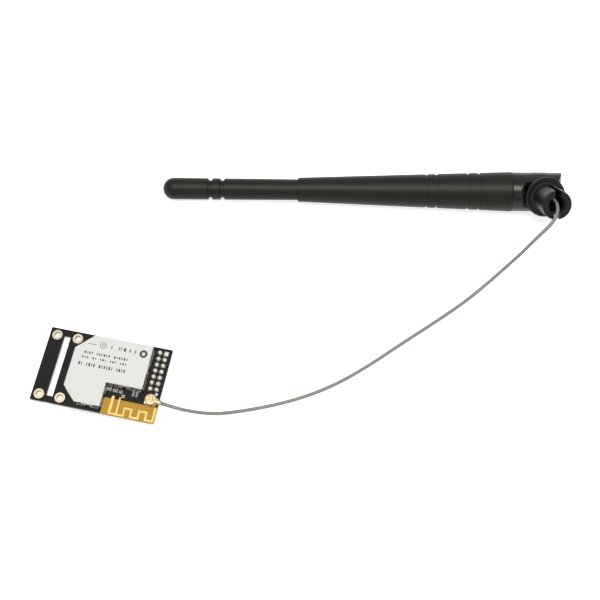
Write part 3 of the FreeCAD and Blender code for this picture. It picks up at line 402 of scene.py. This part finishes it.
def make_finishes():
    """Every finish, by a short name. Grain and depth are in millimetres."""
    drawn_along_x = (0.1, 1, 1)
    warm_sheen = rgb("fffcf3")
    return {
        "board": board_finish(),
        "steel": steel_finish(),
        # Matt polyester label film: an even, slightly warm white with the faintest tooth
        "label": grained("matt_white_label_film", "e9e8e4", "e2e0dc", grain=0.25,
                         rough=(0.5, 0.62), relief=0.03, depth=0.003, IOR=1.5),
        "cable": cable_finish(),
        "capacitor": capacitor_finish(),
        "pin_metal": pin_finish(),
        # Immersion gold on etched copper: pale, satin, with the copper's fine grain under it
        "pad_gold": grained("immersion_gold_pads", "ded0b8", "cdbc9e", grain=0.15,
                            rough=(0.16, 0.26), relief=0.12, depth=0.008, Metallic=1.0),
        # The same plating over a thinner trace, which looks yellower on the amber laminate
        "trace_gold": grained("immersion_gold_trace", "cfb67a", "ba9b58", grain=0.2,
                              rough=(0.2, 0.3), relief=0.12, depth=0.008, Metallic=1.0),
        # Bright tin, melted and set: smooth with slow ripples
        "solder": grained("bright_tin_solder", "dddbd1", "bab8af", grain=0.35,
                          rough=(0.24, 0.36), relief=0.3, depth=0.03, Metallic=1.0),
        # The same tin drawn out by an iron, and rougher. Its dark patches are painted shade and its light ones
        # painted glints, laid at random
        "bead": grained("tin_bead_painted_shade_and_glints", "948f83", "35322d", grain=0.8,
                        rough=(0.34, 0.48), relief=0.3, depth=0.03, Metallic=1.0),
        # Copper and gold plated on a drilled wall: rough, and darker than the pads, partly from the plating and
        # partly as painted shade in the hole
        "hole_wall": grained("plated_hole_wall_painted_shade", "b39a70", "8f774e", grain=0.2,
                             rough=(0.4, 0.55), relief=0.3, depth=0.02, Metallic=1.0),
        # Gold over stamped bronze: warm, rolled and slightly dull
        "plug_gold": grained("gold_plated_bronze", "d4bf98", "b0966a", grain=0.45,
                             rough=(0.14, 0.26), relief=0.5, depth=0.06, Metallic=1.0),
        # Gold over turned brass: the deepest and smoothest gold on the board
        "ring_gold": grained("gold_plated_brass", "f4d592", "dbb264", grain=0.2,
                             rough=(0.15, 0.28), relief=0.06, depth=0.005, Metallic=1.0),
        # Glass-filled nylon, moulded in a spark-eroded tool: flat black with a fine tooth
        "nylon": grained("moulded_black_nylon", "1d1d1d", "121212", grain=0.09,
                         rough=(0.5, 0.66), relief=0.25, depth=0.012, IOR=1.53),
        # Transfer-moulded epoxy: grey-black with glass filler
        "epoxy": grained("moulded_black_epoxy", "262729", "18191a", grain=0.06,
                         rough=(0.55, 0.7), relief=0.2, depth=0.01, IOR=1.55),
        # Nickel-plated pressed can, bright with faint rolling lines
        "nickel": grained("nickel_plated_can", "dedad2", "bdb9b1", grain=0.15,
                          rough=(0.2, 0.34), relief=0.08, depth=0.005,
                          stretch=drawn_along_x, Metallic=1.0),
        # Sintered and ground: dense dark grey with a metal-like speckle
        "ferrite": grained("ground_ferrite", "34353a", "1f2023", grain=0.05,
                           rough=(0.45, 0.6), relief=0.15, depth=0.008, IOR=2.0),
        # Liquid-crystal polymer, moulded: milky white with flow marks
        "white_resin": grained("moulded_white_resin", "f0ece2", "ded9cd", grain=0.5,
                               rough=(0.4, 0.55), relief=0.08, depth=0.008, IOR=1.6),
        # Bare copper, drawn to wire: salmon red with fine lines along it
        "copper": grained("drawn_copper", "c8835c", "a9623f", grain=0.2,
                          rough=(0.25, 0.4), relief=0.1, depth=0.006,
                          stretch=drawn_along_x, Metallic=1.0),
        # Brass, drawn to a thin tube: yellow, slightly dull, with the same lines
        "brass": grained("drawn_brass_tube", "cfab62", "ad8743", grain=0.2,
                         rough=(0.28, 0.42), relief=0.1, depth=0.006,
                         stretch=drawn_along_x, Metallic=1.0),
        # Thermoplastic rubber, moulded in an etched tool: warm black with a soft, even sheen
        "sleeve": grained("moulded_matt_black_rubber", "141311", "0e0d0c", grain=0.12,
                          rough=(0.4, 0.5), relief=0.2, depth=0.02, IOR=1.31,
                          Specular_Tint=rgb("fffbed")),
        # ABS moulded in a polished tool: darker than the sleeve, with sharp highlights
        "fork": grained("polished_black_abs", "0f0e0d", "080807", grain=1.8,
                        rough=(0.2, 0.28), relief=0.06, depth=0.03, IOR=1.38,
                        Specular_Tint=warm_sheen),
        # Acetal moulded satin, so that the foot turns freely: its highlights are broad and dim
        "knuckle": grained("satin_black_acetal", "0e0d0c", "080807", grain=0.9,
                           rough=(0.34, 0.46), relief=0.08, depth=0.02, IOR=1.34,
                           Specular_Tint=warm_sheen),
        # Screened epoxy ink: dead flat, thin enough to show the label's tooth
        "grey_ink": grained("grey_label_ink", "40403d", "32322f", grain=0.12,
                            rough=(0.55, 0.68), relief=0.1, depth=0.004, IOR=1.5),
        # The same ink in white on the board: chalky, a little uneven at this size
        "white_ink": grained("white_legend_ink", "e9e9e6", "cbcbc8", grain=0.1,
                             rough=(0.55, 0.7), relief=0.15, depth=0.006, IOR=1.5),
    }


NODE_FINISHES = {
    "circuit_board": "board", "copper_pads": "pad_gold", "printed_antenna": "trace_gold",
    "header_housing": "nylon", "header_pins": "pin_metal", "header_solder": "solder",
    "shield_frame": "steel", "frame_solder": "bead", "shield_lid": "steel",
    "shield_label": "label", "radio_chip": "epoxy", "memory_chip": "epoxy",
    "crystal": "nickel", "power_inductor": "ferrite", "bypass_capacitors": "capacitor",
    "receptacle_base": "white_resin", "receptacle_tabs": "solder",
    "receptacle_ring": "ring_gold", "receptacle_contact": "ring_gold",
    "plug_shell": "plug_gold", "plug_insert": "white_resin", "plug_spring": "plug_gold",
    "antenna_cable": "cable", "feed_cable": "cable", "radiator_wire": "copper",
    "choke_tube": "brass", "whip_sleeve": "sleeve", "hinge_fork": "fork",
    "hinge_knuckle": "knuckle",
}


def dress_nodes(finishes):
    """Gives each solid that the frame brings its finish."""
    for name, finish in NODE_FINISHES.items():
        for slot in NODES[name].material_slots:
            slot.material = finishes[finish]


# How the pieces that the solids leave out are made

INK = 0.02
# A bar's corners are rounded by this share of its narrower side
CORNER = 0.2


def set_down(name, bm, finish):
    """Makes a finished bmesh into a piece that moves with the module."""
    bmesh.ops.remove_doubles(bm, verts=bm.verts, dist=WELD)
    bare = [e for e in bm.edges if not e.link_faces]
    bmesh.ops.delete(bm, geom=bare, context="EDGES")
    bmesh.ops.recalc_face_normals(bm, faces=bm.faces)
    mesh = bpy.data.meshes.new(name)
    bm.to_mesh(mesh)
    bm.free()
    piece = bpy.data.objects.new(name, mesh)
    bpy.context.scene.collection.objects.link(piece)
    mesh.materials.append(finish)
    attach(piece, MODULE)


def closed_loop(bm, points):
    """Joins points by edges into a closed loop, and gives its corners and edges."""
    corners = [bm.verts.new(point) for point in points]
    return corners, [bm.edges.new(pair) for pair in zip(corners, corners[1:] + corners[:1])]


def lathe(bm, profile, centre, steps):
    """Spins a closed profile of (radius, height) pairs in millimetres round a vertical axis."""
    middle = mm(*centre)
    corners, edges = closed_loop(bm, [middle + mm(r, 0, z) for r, z in profile])
    bmesh.ops.spin(bm, geom=corners + edges, cent=middle, axis=(0, 0, 1),
                   angle=2 * math.pi, steps=steps, use_merge=True)


def lay_ring(bm, x, y, z, inner, outer, steps):
    """One flat ring of ink on a level surface, or a dot if it has no inner radius."""
    lathe(bm, [(inner, 0), (outer, 0), (outer, INK), (inner, INK)], (x, y, z), steps)


def lay_bar(bm, x, y, z, width, depth):
    """One flat bar of ink, with its corners rounded, lying on a level surface."""
    made = bmesh.ops.create_cube(bm, size=1)["verts"]
    upright = [e for e in {e for v in made for e in v.link_edges}
               if e.verts[0].co.z != e.verts[1].co.z]
    bmesh.ops.scale(bm, vec=mm(width, depth, INK), verts=made)
    bmesh.ops.translate(bm, vec=mm(x, y, z + INK / 2), verts=made)
    bmesh.ops.bevel(bm, geom=upright, offset=mm(min(width, depth) * CORNER),
                    offset_type="OFFSET", segments=2, profile=0.5, affect="EDGES",
                    clamp_overlap=True, material=-1)


# The label's print

# Rows of bars: left end, right end, place across the board, bar depth, and where blanks are
PRINT_ROWS = [
    (-23.4, -9.6, 0.85, 0.8, [-20.3, -14.2]),
    (-23.7, -9.4, -0.75, 0.65, [-21.2, -18.6, -15.1, -11.9]),
    (-24.2, -9.3, -3.0, 1.05, [-21.9, -18.3, -12.8]),
]
BAR_WIDTHS = (0.52, 0.24, 0.42, 0.3)
BAR_GAP = 0.4
BLANK = 0.5
# Single bars: x, y, width, depth
PRINT_BARS = [
    (-21.6, 3.75, 2.8, 0.16), (-15.5, 3.9, 0.28, 1.1), (-13.1, 3.9, 0.3, 1.1),
    (-12.4, 4.3, 0.7, 0.25), (-12.4, 3.7, 0.5, 0.25), (-11.3, 3.9, 0.7, 1.1),
    (-9.7, 3.9, 0.35, 1.0), (-8.0, 3.9, 0.35, 1.0),
]
# Rings: x, y, inner radius, outer radius
PRINT_RINGS = [(-18.2, 3.95, 0.95, 1.1), (-18.2, 3.95, 0.35, 0.5), (-5.4, 3.75, 0.55, 1.25)]
PRINT_RING_STEPS = 32


def lay_row(bm, left, right, y, depth, blanks):
    """One row of bars of changing widths, with wider gaps at the blanks."""
    x = left
    count = 0
    while x < right:
        width = BAR_WIDTHS[count % len(BAR_WIDTHS)]
        if any(x < blank < x + width + BAR_GAP for blank in blanks):
            x += BLANK + BAR_GAP
        else:
            lay_bar(bm, x + width / 2, y, LABEL_TOP, width, depth)
            x += width + BAR_GAP
        count += 1


def label_print(finishes):
    """Plain bars and rings in grey ink, in the places where such a label has its print."""
    bm = bmesh.new()
    for left, right, y, depth, blanks in PRINT_ROWS:
        lay_row(bm, left, right, y, depth, blanks)
    for x, y, width, depth in PRINT_BARS:
        lay_bar(bm, x, y, LABEL_TOP, width, depth)
    for x, y, inner, outer in PRINT_RINGS:
        lay_ring(bm, x, y, LABEL_TOP, inner, outer, PRINT_RING_STEPS)
    set_down("label_print", bm, finishes["grey_ink"])


# The board's legend

# Groups of strokes in a row along the board: left end, y, how many
STROKE_GROUPS = [(-13.9, -8.6, 4), (-11.9, -8.75, 4), (-9.9, -8.9, 3)]
STROKE_PITCH = 0.42
STROKE_WIDTH = 0.17
STROKE_DEPTHS = (0.85, 1.25)
# Columns of dashes towards the board's front edge
DASH_COLUMNS = (-5.6, -4.5)
DASH_START = -7.6
DASH_PITCH = 0.45
DASH_COUNT = 5
DASH_WIDTHS = (0.6, 0.85)
DASH_DEPTH = 0.16
# A ring and a dot: x, y, inner radius, outer radius
LEGEND_RINGS = [(-8.4, -10.1, 0.3, 0.52), (1.35, -7.45, 0, 0.45)]
LEGEND_RING_STEPS = 24


def legend_marks(finishes):
    """Small plain marks in white ink beside the parts, as on any printed board."""
    bm = bmesh.new()
    for left, y, count in STROKE_GROUPS:
        for number in range(count):
            lay_bar(bm, left + number * STROKE_PITCH, y, BOARD_TOP, STROKE_WIDTH,
                    STROKE_DEPTHS[number % 2])
    for x in DASH_COLUMNS:
        for number in range(DASH_COUNT):
            lay_bar(bm, x, DASH_START - number * DASH_PITCH, BOARD_TOP,
                    DASH_WIDTHS[number % 2], DASH_DEPTH)
    for x, y, inner, outer in LEGEND_RINGS:
        lay_ring(bm, x, y, BOARD_TOP, inner, outer, LEGEND_RING_STEPS)
    set_down("legend_marks", bm, finishes["white_ink"])


# The mounting holes' plating

PLATING = 0.04
# Half of a lip's thickness, and how far a lip reaches out from its hole
LIP = 0.01
LIP_REACH = 0.1
BARREL_STEPS = 40


def hole_barrels(finishes):
    """The plating that lines each mounting hole, with a thin lip over the pad on both faces."""
    pattern = named(RECORD["mounts"], "mounting_holes")
    middle_x, middle_y, _ = [v * 1000 for v in pattern["pos_m"]]
    half_x = pattern["dims"]["spacing_x_mm"] / 2
    half_y = pattern["dims"]["spacing_y_mm"] / 2
    hole = pattern["dims"]["hole_r_mm"]
    bore = hole - PLATING
    rim = hole + LIP_REACH
    bottom, top = [corner[2] for corner in box_mm("copper_pads")]
    profile = [(hole, bottom - LIP), (rim, bottom - LIP), (rim, bottom + LIP),
               (hole, bottom + 2 * LIP), (hole, top - 2 * LIP), (rim, top - LIP),
               (rim, top + LIP), (hole, top + LIP), (bore, top - 2 * LIP),
               (bore, bottom + 2 * LIP)]
    bm = bmesh.new()
    for x in (middle_x - half_x, middle_x + half_x):
        for y in (middle_y - half_y, middle_y + half_y):
            lathe(bm, profile, (x, y, 0), BARREL_STEPS)
    set_down("hole_barrels", bm, finishes["hole_wall"])


# The skins of the fork's cheeks

WHIP_LINE = (0.98356, 0.17874, 0.02609)
SKIN_INSIDE = 6.43
SKIN_OUTSIDE = 6.47
# Half of a skin's length along the whip, and its sweep round it in degrees
SKIN_REACH = 2.2
SKIN_SWEEP = 40
SKIN_STEPS = 16


def cheek_skins(finishes):
    """The thin moulded skin that closes each cheek of the fork over the hinge pin's end."""
    hinge = named(frame["joints"], "foot_fold")
    middle = Vector(hinge["pos_m"])
    across = Vector(hinge["axis"])
    along = Vector(WHIP_LINE)
    section = [(-SKIN_REACH, SKIN_INSIDE), (SKIN_REACH, SKIN_INSIDE),
               (SKIN_REACH, SKIN_OUTSIDE), (-SKIN_REACH, SKIN_OUTSIDE)]
    bm = bmesh.new()
    for side in (-1, 1):
        corners, edges = closed_loop(bm, [middle + along * mm(s) + across * mm(side * r)
                                          for s, r in section])
        bmesh.ops.rotate(bm, verts=corners, cent=middle,
                         matrix=Matrix.Rotation(math.radians(-SKIN_SWEEP / 2), 3, along))
        bmesh.ops.spin(bm, geom=corners + edges, cent=middle, axis=along,
                       angle=math.radians(SKIN_SWEEP), steps=SKIN_STEPS)
    bmesh.ops.holes_fill(bm, edges=[e for e in bm.edges if e.is_boundary])
    set_down("cheek_skins", bm, finishes["fork"])


# The studio

WORLD_STRENGTH = 0.25
FLOOR_REACH = 3000
# What the white paper adds of its own where the camera sees it, so that it reads as white
FLOOR_LIFT = 0.76
# Near the middle of the object, where both lamps point
AIM = (40, 35, 0)
# Each lamp's name, place, size and power in watts
LAMPS = [("key_light", (40, -30, 900), (560, 390), 6.3),
         ("side_light", (40, -700, 300), (400, 400), 0.15)]
WHITE = (1, 1, 1, 1)


def white_backdrop(tree, shader_socket, lit, white):
    """Shows white to the camera, to gloss and through glass, and the lit colour to all else."""
    rays = add(tree, "LightPath")
    seen = add(tree, "Math", {0: rays.outputs["Is Camera Ray"], 1: rays.outputs["Is Glossy Ray"]},
               operation="MAXIMUM")
    seen = add(tree, "Math", {0: seen.outputs[0], 1: rays.outputs["Is Transmission Ray"]},
               operation="MAXIMUM")
    both = add(tree, "MixShader", {0: seen.outputs[0], 1: lit, 2: white})
    tree.links.new(both.outputs[0], shader_socket)


def set_world():
    """A dim even light from all round, seen as white."""
    world = bpy.data.worlds.new("studio")
    world.use_nodes = True
    bpy.context.scene.world = world
    tree = world.node_tree
    lit = tree.nodes["Background"]
    lit.inputs["Color"].default_value = WHITE
    lit.inputs["Strength"].default_value = WORLD_STRENGTH
    white = add(tree, "Background", {"Color": WHITE, "Strength": 1.0})
    white_backdrop(tree, tree.nodes["World Output"].inputs["Surface"], lit.outputs[0],
                   white.outputs[0])


def lay_floor():
    """White matt paper, which shows as the white background and keeps the object's shadow."""
    bm = bmesh.new()
    bmesh.ops.create_grid(bm, x_segments=1, y_segments=1, size=mm(FLOOR_REACH))
    mesh = bpy.data.meshes.new("floor")
    bm.to_mesh(mesh)
    bm.free()
    floor = bpy.data.objects.new("floor", mesh)
    bpy.context.scene.collection.objects.link(floor)
    paper, tree, shader, _ = start("white_studio_paper", Roughness=0.9,
                                   Base_Color=rgb("f4f4f4"))
    lift = add(tree, "Emission", {"Color": WHITE, "Strength": FLOOR_LIFT})
    lifted = add(tree, "AddShader", {0: shader.outputs[0], 1: lift.outputs[0]})
    white_backdrop(tree, tree.nodes["Material Output"].inputs["Surface"], shader.outputs[0],
                   lifted.outputs[0])
    mesh.materials.append(paper)


def hang_lamps():
    """A large soft lamp overhead, and a faint one low in front."""
    for name, place, size, power in LAMPS:
        lamp = bpy.data.lights.new(name, "AREA")
        lamp.shape = "RECTANGLE"
        lamp.size = mm(size[0])
        lamp.size_y = mm(size[1])
        lamp.energy = power
        light = bpy.data.objects.new(name, lamp)
        bpy.context.scene.collection.objects.link(light)
        spot = mm(*place)
        turn = (mm(*AIM) - spot).to_track_quat("-Z", "Y")
        light.matrix_world = Matrix.Translation(spot) @ turn.to_matrix().to_4x4()


def main():
    """Dresses the module and lights it."""
    bpy.context.scene.view_settings.view_transform = "Standard"
    finishes = make_finishes()
    set_camera()
    lay_cable(finishes["cable"])
    dress_nodes(finishes)
    label_print(finishes)
    legend_marks(finishes)
    hole_barrels(finishes)
    cheek_skins(finishes)
    set_world()
    lay_floor()
    hang_lamps()


main()
